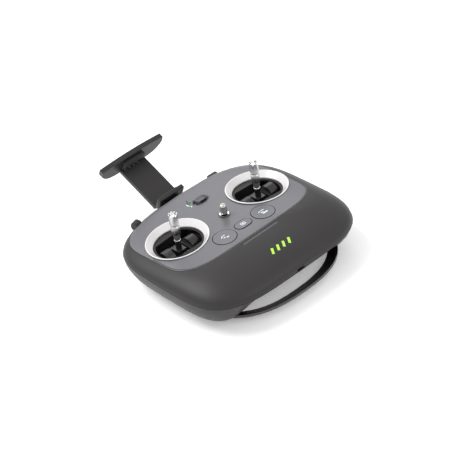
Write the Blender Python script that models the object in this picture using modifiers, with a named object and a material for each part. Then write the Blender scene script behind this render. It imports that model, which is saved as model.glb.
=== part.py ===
"""Handheld radio transmitter controller with two stick gimbals, a phone clamp and a carry handle.

The object stands on its four rubber feet on the plane z = 0, +X to the operator's right, +Y away
from the operator.  Everything hangs on the empty "deck", whose origin is the point of the control
deck midway between the two sticks.  Deck coordinates below are in millimetres.
"""

import math

import bmesh
import bpy
from mathutils import Matrix, Vector

MM = 0.001

# ---- driving dimensions -------------------------------------------------------------------------
GAP = 0.3                        # assembly gap between neighbouring pieces

DECK_HEIGHT = 43.0               # deck origin above the table
DECK_Y = -9.1                    # deck origin along Y, so that the whole stands centred on the origin
CAMBER_RADIUS = 747.0            # side-to-side crown of the deck
DECK_SLOPE = 0.068               # the deck falls away from the operator by this ratio

BODY_CENTRE_Y = -22.5            # centre of the body outline
BODY_HALF_LENGTH = 76.0
BODY_HALF_WIDTH = 86.5
NEAR_SQUARENESS = 3.8            # superellipse exponent of the outline on the operator's side
FAR_SQUARENESS = 3.9
BODY_SIDES = 52                  # segments around the outline
PARTING_Z = -14.5                # height of the seam between the two shells
BELLY_Z = -41.6                  # flat underside
BELLY_SCALE = 0.70               # size of the flat underside against the outline
SHELL_WALL = 2.4

PLATE_HALF_WIDTH = 74.0
PLATE_FAR_Y = 48.6
PLATE_NEAR_Y = -50.0
PLATE_SQUARENESS = 4.2

STICK_SPACING = 90.0             # between the two gimbal centres
RING_RADIUS = 27.4
RING_THROAT_RADIUS = 21.9
RING_DEPTH = 3.6
RING_TILT = math.radians(3.45)   # the rings follow the camber
PIVOT_Z = -15.0                  # both axes of a gimbal cross here
STICK_TOP = 24.3                 # top of the stick above the deck

YOKE_DRUM_RADIUS = 8.5
YOKE_DRUM_INNER = 9.0
YOKE_DRUM_OUTER = 17.0
AXLE_RADIUS = 1.8
AXLE_CLEARANCE = 0.25

BUTTON_RADIUS = 10.2
BUTTON_X = 21.4
BUTTON_Y = -33.2
MIDDLE_BUTTON_HALF = (3.0, 5.2)  # half straight length and end radius
MIDDLE_BUTTON_Y = -32.2
BUTTON_STEM_DEPTH = 6.0
BUTTON_CLEARANCE = 0.45          # open seam around the push buttons

TOGGLE_Y = -9.0
SLIDER_X = 3.0
SLIDER_Y = 25.3
SLIDER_HALF = (3.5, 4.6)         # half straight length and end radius of the slider's recess
SLIDER_TRAVEL = 2.0
LED_Y = -53.4
LED_HALF = (19.2, 1.2)

PORT_Z = -12.9
PORT_SIZE = (7.8, 2.8)

HOLDER_HINGE = (0.0, 61.5, -21.5)
HOLDER_TILT = math.radians(25.7)
ARM_WIDTH = 27.0
ARM_LENGTH = 47.0
ARM_NOTCH = (1.8, 3.4, 8.0)      # a row of notches in the ends of the sleeve and the tongue by the far jaw
ARM_NOTCH_SETBACK = 1.8
ARM_FRONT = 8.4                  # near end of the arm, from the hinge axis
ARM_Z = -2.8                     # middle of the arm's thickness, from the hinge axis
FAR_JAW_LENGTH = 68.4
FAR_JAW_THICKNESS = 4.6

HANDLE_PIN_Y = -34.0
HANDLE_PIN_Z = -36.6
HANDLE_OUTER = (70.5, 65.9)      # half width and length of the band's outer edge, from the pin axis
HANDLE_INNER = (63.6, 55.4)
HANDLE_SQUARENESS = 2.5
HANDLE_THICKNESS = 2.6
HANDLE_TWIST = 2.4               # rise of the outer edge at the middle of the band
HANDLE_CLEARANCE = 1.2           # between the band and the sides of its well
HANDLE_WELL_TOP = -32.2

DIAL_CENTRE = (-47.5, 51.6, -9.6)
DIAL_RADIUS = 4.4
DIAL_TURN = math.radians(18.0)   # the dial's axle follows the rounded corner of the body
SHOULDER_BUTTON_CENTRE = (40.5, 52.8, -10.2)


# ---- scene and helpers --------------------------------------------------------------------------
for leftover in list(bpy.data.objects):
    bpy.data.objects.remove(leftover)

parts = bpy.data.collections.new("radio_transmitter_controller")
cutters = bpy.data.collections.new("cutters")
bpy.context.scene.collection.children.link(parts)
bpy.context.scene.collection.children.link(cutters)


def make_material(name, colour, roughness, metallic=0.0):
    material = bpy.data.materials.new(name)
    material.use_nodes = True
    shader = material.node_tree.nodes["Principled BSDF"]
    shader.inputs["Base Color"].default_value = (*colour, 1.0)
    shader.inputs["Roughness"].default_value = roughness
    shader.inputs["Metallic"].default_value = metallic
    return material


SHELL = make_material("charcoal_shell", (0.065, 0.062, 0.065), 0.6)
DECK = make_material("grey_deck", (0.27, 0.27, 0.29), 0.45)
WHITE = make_material("white_ring", (0.85, 0.83, 0.82), 0.35)
DARK = make_material("dark_plastic", (0.045, 0.044, 0.046), 0.45)
BLACK = make_material("black_gloss", (0.01, 0.01, 0.01), 0.25)
STEEL = make_material("bright_metal", (0.75, 0.75, 0.76), 0.25, 1.0)
BRASS = make_material("brass", (0.6, 0.47, 0.27), 0.35, 1.0)
RUBBER = make_material("rubber", (0.03, 0.03, 0.03), 0.8)
BOARD = make_material("circuit_board", (0.03, 0.16, 0.07), 0.5)
CELL = make_material("battery_wrap", (0.12, 0.2, 0.45), 0.4)
LENS = make_material("smoked_lens", (0.05, 0.05, 0.055), 0.2)


def new_empty(name, location, parent=None, rotation=(0.0, 0.0, 0.0)):
    empty = bpy.data.objects.new(name, None)
    parts.objects.link(empty)
    empty.parent = parent
    empty.location = [value * MM for value in location]
    empty.rotation_euler = rotation
    return empty


def add_object(name, mesh, material=None, parent=None, location=(0.0, 0.0, 0.0), rotation=(0.0, 0.0, 0.0)):
    """Link a mesh as a visible part when it has a material, and as a hidden tool when it has none."""
    item = bpy.data.objects.new(name, mesh)
    item.parent = parent
    item.location = [value * MM for value in location]
    item.rotation_euler = rotation
    if material is None:
        cutters.objects.link(item)
        item.hide_render = True
        item.display_type = "WIRE"
    else:
        parts.objects.link(item)
        mesh.materials.append(material)
    return item


def mesh_from(bm, name):
    mesh = bpy.data.meshes.new(name)
    bm.to_mesh(mesh)
    bm.free()
    return mesh


def smooth(item, degrees=30.0):
    item.data.shade_smooth()
    item.data.set_sharp_from_angle(angle=math.radians(degrees))
    return item


def boolean(item, tool, operation):
    modifier = item.modifiers.new(operation.lower(), "BOOLEAN")
    modifier.operation = operation
    modifier.object = tool
    return item


def cut(item, *tools):
    for tool in tools:
        boolean(item, tool, "DIFFERENCE")
    return item


def unite(item, *tools):
    for tool in tools:
        boolean(item, tool, "UNION")
    return item


def bevel(item, width, segments=2, angle=35.0):
    modifier = item.modifiers.new("rounded_edges", "BEVEL")
    modifier.width = width * MM
    modifier.segments = segments
    modifier.limit_method = "ANGLE"
    modifier.angle_limit = math.radians(angle)
    return item


def box(name, size, centre, material=None, parent=None, rotation=(0.0, 0.0, 0.0), radius=0.0, segments=2):
    """A block of the given size, with its origin at its centre."""
    bm = bmesh.new()
    bmesh.ops.create_cube(bm, size=1.0)
    bmesh.ops.scale(bm, vec=[value * MM for value in size], verts=bm.verts)
    item = add_object(name, mesh_from(bm, name), material, parent, centre, rotation)
    if radius:
        bevel(item, radius, segments)
    return item


def cylinder(name, radius, length, centre, axis="Z", material=None, parent=None, top_radius=None, segments=24,
             rotation=(0.0, 0.0, 0.0)):
    """A round bar along one axis, centred on its origin."""
    bm = bmesh.new()
    top = radius if top_radius is None else top_radius
    bmesh.ops.create_cone(bm, cap_ends=True, segments=segments, radius1=radius * MM, radius2=top * MM,
                          depth=length * MM)
    turn = {"Z": Matrix.Identity(3), "X": Matrix.Rotation(math.pi / 2, 3, "Y"),
            "Y": Matrix.Rotation(-math.pi / 2, 3, "X")}[axis]
    bmesh.ops.rotate(bm, matrix=turn, verts=bm.verts)
    return smooth(add_object(name, mesh_from(bm, name), material, parent, centre, rotation))


def turned(name, profile, material=None, parent=None, location=(0.0, 0.0, 0.0), rotation=(0.0, 0.0, 0.0),
           steps=32, closed=False):
    """A profile of (radius, height) pairs, listed top to bottom on the outer side, turned about Z."""
    bm = bmesh.new()
    points = [bm.verts.new((radius * MM, 0.0, height * MM)) for radius, height in profile]
    for first, second in zip(points, points[1:]):
        bm.edges.new((first, second))
    if closed:
        bm.edges.new((points[-1], points[0]))
    item = add_object(name, mesh_from(bm, name), material, parent, location, rotation)
    screw = item.modifiers.new("turned", "SCREW")
    screw.steps = steps
    screw.render_steps = steps
    screw.use_merge_vertices = True
    screw.merge_threshold = 0.00001
    screw.use_smooth_shade = False
    return item


def extruded(name, outline, low, high, material=None, parent=None, location=(0.0, 0.0, 0.0),
             rotation=(0.0, 0.0, 0.0)):
    """A flat outline in the XY plane made into a slab between two heights."""
    curve = bpy.data.curves.new(name, "CURVE")
    curve.dimensions = "2D"
    curve.fill_mode = "BOTH"
    curve.extrude = (high - low) / 2 * MM
    spline = curve.splines.new("POLY")
    spline.points.add(len(outline) - 1)
    for point, (x, y) in zip(spline.points, outline):
        point.co = (x * MM, y * MM, 0.0, 1.0)
    spline.use_cyclic_u = True
    guide = bpy.data.objects.new(name + "_outline", curve)
    cutters.objects.link(guide)
    evaluated = guide.evaluated_get(bpy.context.evaluated_depsgraph_get())
    mesh = bpy.data.meshes.new_from_object(evaluated)
    bpy.data.objects.remove(guide)
    bm = bmesh.new()
    bm.from_mesh(mesh)
    bmesh.ops.remove_doubles(bm, verts=bm.verts, dist=0.00001)
    bmesh.ops.translate(bm, vec=(0.0, 0.0, (high + low) / 2 * MM), verts=bm.verts)
    bmesh.ops.recalc_face_normals(bm, faces=bm.faces)
    mesh.clear_geometry()
    bm.to_mesh(mesh)
    bm.free()
    mesh.materials.clear()
    return add_object(name, mesh, material, parent, location, rotation)


# ---- outlines -----------------------------------------------------------------------------------
def signed_power(value, power):
    return math.copysign(abs(value) ** power, value)


def circle_outline(radius, count=48):
    turns = [2 * math.pi * step / count for step in range(count)]
    return [(radius * math.cos(turn), radius * math.sin(turn)) for turn in turns]


def stadium_outline(half_straight, radius, count=10):
    """A slot along X with round ends."""
    points = []
    for side, start in ((1.0, -math.pi / 2), (-1.0, math.pi / 2)):
        for step in range(count + 1):
            turn = start + math.pi * step / count
            points.append((side * half_straight + radius * math.cos(turn), radius * math.sin(turn)))
    return points


def body_edge(turn):
    """The widest contour of the body, at the seam between its shells."""
    squareness = NEAR_SQUARENESS if math.sin(turn) < 0 else FAR_SQUARENESS
    across = BODY_HALF_WIDTH * signed_power(math.cos(turn), 2 / squareness)
    along = BODY_HALF_LENGTH * signed_power(math.sin(turn), 2 / squareness)
    return across, along


def plate_outline(grow=0.0, count=64):
    """The control deck's outline: a squarish oval whose operator's side bows out slightly."""
    centre_y = (PLATE_FAR_Y + PLATE_NEAR_Y) / 2
    half_length = (PLATE_FAR_Y - PLATE_NEAR_Y) / 2
    points = []
    for step in range(count):
        turn = 2 * math.pi * step / count
        across = signed_power(math.cos(turn), 2 / PLATE_SQUARENESS)
        along = signed_power(math.sin(turn), 2 / PLATE_SQUARENESS)
        points.append(((PLATE_HALF_WIDTH + grow) * across, centre_y + (half_length + grow) * along))
    return points


def gimbal_opening_outline(radius, half_height, count=10):
    """A round opening with two straight sides along X."""
    limit = math.asin(half_height / radius)
    points = []
    for start, end in ((-limit, limit), (math.pi - limit, math.pi + limit)):
        for step in range(count + 1):
            turn = start + (end - start) * step / count
            points.append((radius * math.cos(turn), radius * math.sin(turn)))
    return points


# ---- body form ----------------------------------------------------------------------------------
NEAR_ROUNDING = 0.95             # share of the radius over which the operator's side rolls off
SIDE_ROUNDING = 0.27
FAR_ROUNDING = 0.085
ROLL_OFF_POWER = 2.1
SCOOP_DEPTH = 0.32               # the underside is drawn in behind the carry handle
SCOOP_NARROWNESS = 6.0
TOP_LEVELS = (0.0, 0.3, 0.52, 0.68, 0.8, 0.88, 0.93, 0.965, 0.988, 1.0)
BELLY_LEVELS = (0.0, 0.17, 0.36, 0.56, 0.78, 1.0)


def crown(x, y):
    """Height of the deck surface, carried on over the whole body."""
    return -x * x / (2 * CAMBER_RADIUS) - DECK_SLOPE * y


def roll_off_share(turn):
    """How much of the radius rolls off towards the edge, by direction."""
    near = max(0.0, -math.sin(turn)) ** 2.0
    far = max(0.0, math.sin(turn)) ** 2.0
    share = SIDE_ROUNDING + (NEAR_ROUNDING - SIDE_ROUNDING) * near
    return share + (FAR_ROUNDING - SIDE_ROUNDING) * far


def top_point(turn, level):
    """A point of the upper surface: level 0 is the pole, level 1 the seam."""
    edge_x, edge_y = body_edge(turn)
    x = edge_x * level
    y = BODY_CENTRE_Y + edge_y * level
    inward = min(1.0, (1.0 - level) / roll_off_share(turn))
    power = 2.0 + (ROLL_OFF_POWER - 2.0) * max(0.0, -math.sin(turn))
    height = (1.0 - (1.0 - inward) ** power) ** (1.0 / power)
    z = PARTING_Z + (crown(x, y) - PARTING_Z) * height
    return Vector((x, y, z)) * MM


def belly_point(turn, level):
    """A point of the lower surface: level 0 is the seam, level 1 the edge of the flat underside."""
    edge_x, edge_y = body_edge(turn)
    quarter = level * math.pi / 2
    scoop = SCOOP_DEPTH * max(0.0, -math.sin(turn)) ** SCOOP_NARROWNESS
    tuck = (1.0 - BELLY_SCALE) * (1.0 - math.cos(quarter) ** 0.9) + scoop * math.sin(quarter) ** 0.8
    z = PARTING_Z + (BELLY_Z - PARTING_Z) * math.sin(quarter) ** 1.1
    y = BODY_CENTRE_Y + edge_y * (1.0 - tuck)
    return Vector((edge_x * (1.0 - tuck + 0.6 * scoop * level) * MM, y * MM, z * MM))


def lofted_surface(name, point_at, levels, material, pole_first):
    """Rings of points joined into an open surface, closed by a cap at the pole or the flat."""
    bm = bmesh.new()
    turns = [2 * math.pi * step / BODY_SIDES for step in range(BODY_SIDES)]
    rings = []
    for level in levels:
        if pole_first and level == 0.0:
            continue
        rings.append([bm.verts.new(point_at(turn, level)) for turn in turns])
    for ring, following in zip(rings, rings[1:]):
        for step in range(BODY_SIDES):
            after = (step + 1) % BODY_SIDES
            bm.faces.new((ring[step], following[step], following[after], ring[after]))
    if pole_first:
        pole = bm.verts.new(point_at(0.0, 0.0))
        for step in range(BODY_SIDES):
            bm.faces.new((pole, rings[0][step], rings[0][(step + 1) % BODY_SIDES]))
    else:
        bm.faces.new(rings[-1])
    bmesh.ops.recalc_face_normals(bm, faces=bm.faces)
    outward = Vector((0.0, 0.0, 1.0 if pole_first else -1.0))
    flattest = max(bm.faces, key=lambda face: abs(face.normal.z) * face.calc_area())
    if flattest.normal.dot(outward) < 0:
        bmesh.ops.reverse_faces(bm, faces=bm.faces)
    return add_object(name, mesh_from(bm, name), material, deck)


def shelled(item, wall):
    """Give an open surface its wall, grown inwards."""
    modifier = item.modifiers.new("wall", "SOLIDIFY")
    modifier.thickness = wall * MM
    modifier.offset = -1.0
    modifier.use_even_offset = False
    return item


deck = new_empty("deck", (0.0, DECK_Y, DECK_HEIGHT))


# ---- shells -------------------------------------------------------------------------------------
def seam_slab(name, low, high):
    return box(name, (260.0, 260.0, high - low), (0.0, BODY_CENTRE_Y, (low + high) / 2), None, deck)


def holder_rest(name):
    """Room in the shells for the clamp bracket on the far wall."""
    return box(name, (25.0, 12.0, 17.0), (0.0, 52.0, -21.0), None, deck)


def led_outline(grow):
    half_x, half_y = LED_HALF
    return [(-half_x - grow, LED_Y - half_y - grow), (half_x + grow, LED_Y - half_y - grow),
            (half_x + grow, LED_Y + half_y + grow), (-half_x - grow, LED_Y + half_y + grow)]


def port_well():
    width, height = PORT_SIZE
    return box("port_well", (width + 2 * GAP, 30.0, height + 2 * GAP), (0.0, -98.0, PORT_Z), None, deck)


def build_upper_shell():
    shell = shelled(lofted_surface("upper_shell", top_point, TOP_LEVELS, SHELL, True), SHELL_WALL)
    cut(shell, seam_slab("seam_under_upper", PARTING_Z - 40.0, PARTING_Z + GAP / 2))
    cut(shell, extruded("plate_well", plate_outline(GAP), -25.0, 25.0, None, deck))
    cut(shell, extruded("led_well", led_outline(GAP), -10.0, 12.0, None, deck))
    cut(shell, port_well(), dial_well("dial_well"), shoulder_well("shoulder_well"))
    return cut(shell, holder_rest("bracket_well_upper"))


def build_faceplate():
    plate = shelled(lofted_surface("faceplate", top_point, TOP_LEVELS, DECK, True), SHELL_WALL)
    boolean(plate, extruded("plate_outline_tool", plate_outline(0.0), -25.0, 25.0, None, deck), "INTERSECT")
    for side, sign in (("left", -1.0), ("right", 1.0)):
        cut(plate, cylinder("ring_hole_" + side, RING_RADIUS - 1.2 + GAP, 30.0,
                            (sign * STICK_SPACING / 2, 0.0, 0.0), segments=36, parent=deck))
    for name, x in (("left", -BUTTON_X), ("right", BUTTON_X)):
        cut(plate, cylinder("button_hole_" + name, BUTTON_RADIUS + BUTTON_CLEARANCE, 30.0, (x, BUTTON_Y, 0.0),
                            segments=32, parent=deck))
    half, radius = MIDDLE_BUTTON_HALF
    cut(plate, extruded("button_hole_middle", stadium_outline(half, radius + BUTTON_CLEARANCE), -15.0, 15.0, None,
                        deck, (0.0, MIDDLE_BUTTON_Y, 0.0)))
    half, radius = SLIDER_HALF
    cut(plate, extruded("slider_hole", stadium_outline(half, radius + GAP), -15.0, 15.0, None, deck,
                        (SLIDER_X, SLIDER_Y, 0.0)))
    return cut(plate, cylinder("toggle_hole", 3.3, 30.0, (0.0, TOGGLE_Y, 0.0), segments=24, parent=deck),
               dial_well("dial_well_plate"))


def build_led_window():
    window = shelled(lofted_surface("led_window", top_point, TOP_LEVELS, LENS, True), SHELL_WALL)
    outline_tool = extruded("led_outline_tool", led_outline(0.0), -10.0, 12.0, None, deck)
    return boolean(window, outline_tool, "INTERSECT")


def handle_edge(extent, turn):
    """A point on one edge of the band, in plan, from the middle of the pin axis."""
    half_width, length = extent
    across = half_width * signed_power(math.cos(turn), 2 / HANDLE_SQUARENESS)
    along = -length * signed_power(math.sin(turn), 2 / HANDLE_SQUARENESS)
    return across, along


def handle_well(name):
    """The bow-shaped space under the body in which the carry handle lies."""
    count = 20
    turns = [math.pi * step / count for step in range(count + 1)]
    outer = [handle_edge([size + HANDLE_CLEARANCE for size in HANDLE_OUTER], turn) for turn in turns]
    inner = [handle_edge([size - HANDLE_CLEARANCE for size in HANDLE_INNER], turn) for turn in reversed(turns)]
    outer_x, inner_x = outer[0][0], inner[-1][0]
    behind = 8.0
    outline = [(outer_x, behind)] + outer + [(-outer_x, behind), (-inner_x, behind)] + inner + [(inner_x, behind)]
    return extruded(name, outline, -50.0, HANDLE_WELL_TOP, None, deck, (0.0, HANDLE_PIN_Y, 0.0))


def build_rear_shell():
    shell = shelled(lofted_surface("rear_shell", belly_point, BELLY_LEVELS, SHELL, False), SHELL_WALL)
    cut(shell, seam_slab("seam_over_rear", PARTING_Z - GAP / 2, PARTING_Z + 40.0))
    return cut(shell, handle_well("handle_well"), holder_rest("bracket_well_rear"), dial_well("dial_well_rear"))


# ---- shoulder controls --------------------------------------------------------------------------
def dial_well(name):
    x, y, z = DIAL_CENTRE
    return box(name, (8.6, 11.0, 10.0), (x, y, z), None, deck, (0.0, 0.0, DIAL_TURN))


def shoulder_well(name):
    x, y, z = SHOULDER_BUTTON_CENTRE
    return box(name, (11.4, 16.0, 4.4), (x, y - 4.0, z), None, deck)


# ---- internals ----------------------------------------------------------------------------------
def build_internals():
    """What the shells hold: a mid frame, the main board, the battery and the aerial strips."""
    frame_outline = plate_outline(-7.0, 32)
    frame = extruded("mid_frame", frame_outline, -12.4, -10.4, DARK, deck)
    for side, sign in (("left", -1.0), ("right", 1.0)):
        cut(frame, box("frame_gimbal_hole_" + side, (46.0, 40.0, 12.0), (sign * STICK_SPACING / 2, 0.0, -11.0), None,
                       deck))
        cut(frame, cylinder("frame_button_hole_" + side, 3.6, 12.0, (sign * BUTTON_X, BUTTON_Y, -11.0), parent=deck,
                             segments=12))
    cut(frame, cylinder("frame_button_hole_middle", 3.6, 12.0, (0.0, MIDDLE_BUTTON_Y, -11.0), parent=deck,
                         segments=12))
    cut(frame, box("frame_toggle_hole", (15.0, 10.0, 12.0), (0.0, TOGGLE_Y, -11.0), None, deck))
    cut(frame, box("frame_slider_hole", (20.0, 10.0, 12.0), (SLIDER_X, SLIDER_Y, -11.0), None, deck))
    cut(frame, dial_well("dial_well_frame"))
    board = box("main_circuit_board", (34.0, 60.0, 1.6), (0.0, 2.0, -22.0), BOARD, deck)
    battery = box("battery_pack", (66.0, 34.0, 12.0), (0.0, -50.0, -23.5), CELL, deck, radius=3.0)
    for side, sign in (("left", -1.0), ("right", 1.0)):
        box("aerial_strip_" + side, (7.0, 40.0, 1.0), (sign * 61.0, -58.0, -16.0), BRASS, deck)
    return frame, board, battery


# ---- stick gimbals ------------------------------------------------------------------------------
def build_gimbal(side, sign):
    """One two-axis gimbal: the yoke turns about X in the frame, and the stick about Y in the yoke."""
    centre = (sign * STICK_SPACING / 2, 0.0, 0.0)
    tilt = (-math.atan(DECK_SLOPE), sign * RING_TILT, 0.0)
    crown_z = crown(centre[0], 0.0)
    ring_profile = [
        (RING_RADIUS - 0.9, 0.85), (RING_RADIUS - 0.3, 0.85), (RING_RADIUS, 0.6), (RING_RADIUS, 0.25),
        (RING_RADIUS - 1.5, 0.25), (RING_RADIUS - 1.5, -RING_DEPTH - 1.0),
        (RING_THROAT_RADIUS, -RING_DEPTH - 1.0), (RING_THROAT_RADIUS, -RING_DEPTH)]
    smooth(turned("gimbal_ring_" + side, ring_profile, WHITE, deck, (centre[0], 0.0, crown_z), tilt, 36, True))

    cover = extruded("gimbal_cover_" + side, circle_outline(RING_RADIUS - 3.2, 36), -RING_DEPTH - 2.5,
                     -RING_DEPTH - 1.3, DARK, deck, (centre[0], 0.0, crown_z), tilt)
    opening = gimbal_opening_outline(19.8, 14.4)
    cut(cover, extruded("cover_opening_" + side, opening, -12.0, 6.0, None, deck, (centre[0], 0.0, crown_z), tilt))

    frame = box("gimbal_frame_" + side, (45.0, 38.0, 16.6), (centre[0], 0.0, PIVOT_Z - 3.3), DARK, deck)
    cut(frame, box("frame_hollow_" + side, (40.4, 33.0, 18.0), (centre[0], 0.0, PIVOT_Z), None, deck))
    cut(frame, cylinder("frame_bearing_" + side, AXLE_RADIUS + AXLE_CLEARANCE, 60.0,
                        (centre[0], 0.0, PIVOT_Z), "X", parent=deck))

    pivot = new_empty("stick_pivot_" + side, (centre[0], 0.0, PIVOT_Z), deck)
    yoke = box("gimbal_yoke_" + side, (18.6, 17.0, 5.0), (0.0, 0.0, 0.0), BLACK, pivot)
    cut(yoke, box("yoke_window_" + side, (14.4, 11.6, 12.0), (0.0, 0.0, 0.0), None, pivot))
    for end, way in (("inner", -1.0), ("outer", 1.0)):
        middle = way * (YOKE_DRUM_INNER + YOKE_DRUM_OUTER) / 2
        drum = cylinder("yoke_drum_%s_%s" % (end, side), YOKE_DRUM_RADIUS, YOKE_DRUM_OUTER - YOKE_DRUM_INNER,
                        (middle, 0.0, 0.0), "X", None, pivot)
        stub = cylinder("yoke_axle_%s_%s" % (end, side), AXLE_RADIUS, 6.0, (way * 19.0, 0.0, 0.0), "X", None, pivot,
                        segments=16)
        unite(yoke, drum, stub)
    cut(yoke, cylinder("yoke_bearing_" + side, 1.5 + AXLE_CLEARANCE, 30.0, (0.0, 0.0, 0.0), "Y", parent=pivot))

    block = box("stick_block_" + side, (8.6, 9.0, 9.0), (0.0, 0.0, 0.0), BLACK, pivot)
    unite(block, cylinder("stick_axle_" + side, 1.5, 16.4, (0.0, 0.0, 0.0), "Y", None, pivot))
    unite(block, cylinder("stick_root_" + side, 2.6, 6.6, (0.0, 0.0, 7.7), "Z", None, pivot))

    def above_pivot(height):
        return height - PIVOT_Z

    nut_base = above_pivot(-3.7)
    smooth(turned("stick_nut_" + side, [(0.0, nut_base + 2.5), (2.5, nut_base + 2.5), (2.9, nut_base + 2.1),
                                        (2.9, nut_base + 0.4), (2.5, nut_base), (0.0, nut_base)],
                  BRASS, pivot, steps=16))
    cone_base = above_pivot(-0.9)
    smooth(turned("stick_sleeve_" + side, [(0.0, cone_base + 5.3), (3.3, cone_base + 5.3), (2.4, cone_base),
                                           (0.0, cone_base)], DARK, pivot, steps=24))
    grip_base = above_pivot(4.7)
    grip_profile = [(0.0, grip_base + 9.2), (3.3, grip_base + 9.2), (3.3, grip_base + 8.2), (3.9, grip_base + 7.6),
                    (3.9, grip_base + 1.2), (3.5, grip_base), (0.0, grip_base)]
    smooth(turned("stick_grip_" + side, grip_profile, STEEL, pivot, steps=24))
    cap_base = grip_base + 9.5
    cap_top = above_pivot(STICK_TOP)
    cap = smooth(turned("stick_cap_" + side, [(0.0, cap_top - 0.9), (2.2, cap_top - 0.9), (2.9, cap_top),
                                              (3.9, cap_top), (3.9, cap_base + 0.6), (3.3, cap_base),
                                              (0.0, cap_base)], STEEL, pivot, steps=24))
    for groove in range(4):
        turn = math.pi * groove / 4
        cut(cap, box("cap_groove_%s_%d" % (side, groove), (12.0, 1.1, 2.4), (0.0, 0.0, cap_top), None, pivot,
                     (0.0, 0.0, turn)))


# ---- deck controls ------------------------------------------------------------------------------
def build_button(name, outline, x, y):
    """A push button: a flush cap whose top follows the deck, on a stem that reaches its switch."""
    top = crown(x, y)
    pivot = new_empty(name + "_guide", (x, y, top), deck)
    slope = (-math.atan(DECK_SLOPE), math.atan(x / CAMBER_RADIUS), 0.0)
    cap = extruded(name, outline, -2.2, 0.15, DECK, pivot, rotation=slope)
    bevel(cap, 0.35, 1)
    return unite(cap, cylinder(name + "_stem", 2.8, BUTTON_STEM_DEPTH, (0.0, 0.0, -4.8), "Z", None, pivot))


def build_deck_controls():
    build_button("button_left", circle_outline(BUTTON_RADIUS, 32), -BUTTON_X, BUTTON_Y)
    build_button("button_right", circle_outline(BUTTON_RADIUS, 32), BUTTON_X, BUTTON_Y)
    half, radius = MIDDLE_BUTTON_HALF
    build_button("button_middle", stadium_outline(half, radius), 0.0, MIDDLE_BUTTON_Y)

    toggle_top = crown(0.0, TOGGLE_Y)
    nut = cylinder("toggle_nut", 4.1, 1.2, (0.0, TOGGLE_Y, toggle_top + 1.0), material=STEEL, parent=deck,
                   segments=32)
    cut(nut, cylinder("toggle_nut_hole", 2.6, 6.0, (0.0, TOGGLE_Y, toggle_top + 1.0), parent=deck))
    switch = box("toggle_switch_body", (12.6, 8.0, 9.0), (0.0, TOGGLE_Y, -7.3), DARK, deck)
    cut(switch, cylinder("toggle_socket", 2.8, 12.0, (0.0, TOGGLE_Y, -3.0), parent=deck))
    pivot = new_empty("toggle_pivot", (0.0, TOGGLE_Y, toggle_top), deck)
    smooth(turned("toggle_lever", [(0.0, 11.3), (1.2, 11.2), (2.2, 10.8), (2.8, 10.0), (2.9, 9.0), (3.0, 5.6),
                                   (3.3, 3.4), (3.0, 2.6), (1.5, 2.4), (1.5, -0.6), (1.2, -1.6), (0.0, -1.8)],
                  STEEL, pivot, steps=24))

    half, radius = SLIDER_HALF
    slider_top = crown(0.0, SLIDER_Y)
    tray = extruded("slider_tray", stadium_outline(half, radius), -3.4, -0.25, DECK, deck,
                    (SLIDER_X, SLIDER_Y, slider_top), (-math.atan(DECK_SLOPE), 0.0, 0.0))
    cut(tray, extruded("tray_hollow", stadium_outline(half, radius - 0.7), -2.0, 5.0, None, deck,
                       (SLIDER_X, SLIDER_Y, slider_top), (-math.atan(DECK_SLOPE), 0.0, 0.0)))
    guide = new_empty("slider_guide", (SLIDER_X + SLIDER_TRAVEL / 2 - 0.2, SLIDER_Y, slider_top), deck,
                      (-math.atan(DECK_SLOPE), 0.0, 0.0))
    knob = extruded("power_slider", stadium_outline(half - SLIDER_TRAVEL / 2 - 0.3, radius - 1.1), -1.6, 2.2,
                    DARK, guide)
    cut(knob, cylinder("knob_dish", 3.4, 9.6, (0.0, 0.0, 3.6), "X", parent=guide, segments=48))
    bevel(knob, 0.25, 1)


# ---- shoulder controls' moving pieces -----------------------------------------------------------
def build_shoulder_controls():
    x, y, z = DIAL_CENTRE
    pivot = new_empty("dial_pivot", (x, y, z), deck, (0.0, 0.0, DIAL_TURN))
    dial = cylinder("shoulder_dial", DIAL_RADIUS, 7.0, (0.0, 0.0, 0.0), "X", DARK, pivot, segments=36)
    bevel(dial, 0.8, 1, 50.0)
    x, y, z = SHOULDER_BUTTON_CENTRE
    guide = new_empty("shoulder_button_guide", (x, y, z), deck)
    button = box("shoulder_button", (10.4, 7.6, 3.4), (0.0, -0.6, 0.0), DARK, guide, radius=1.4, segments=3)
    return dial, button


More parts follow.
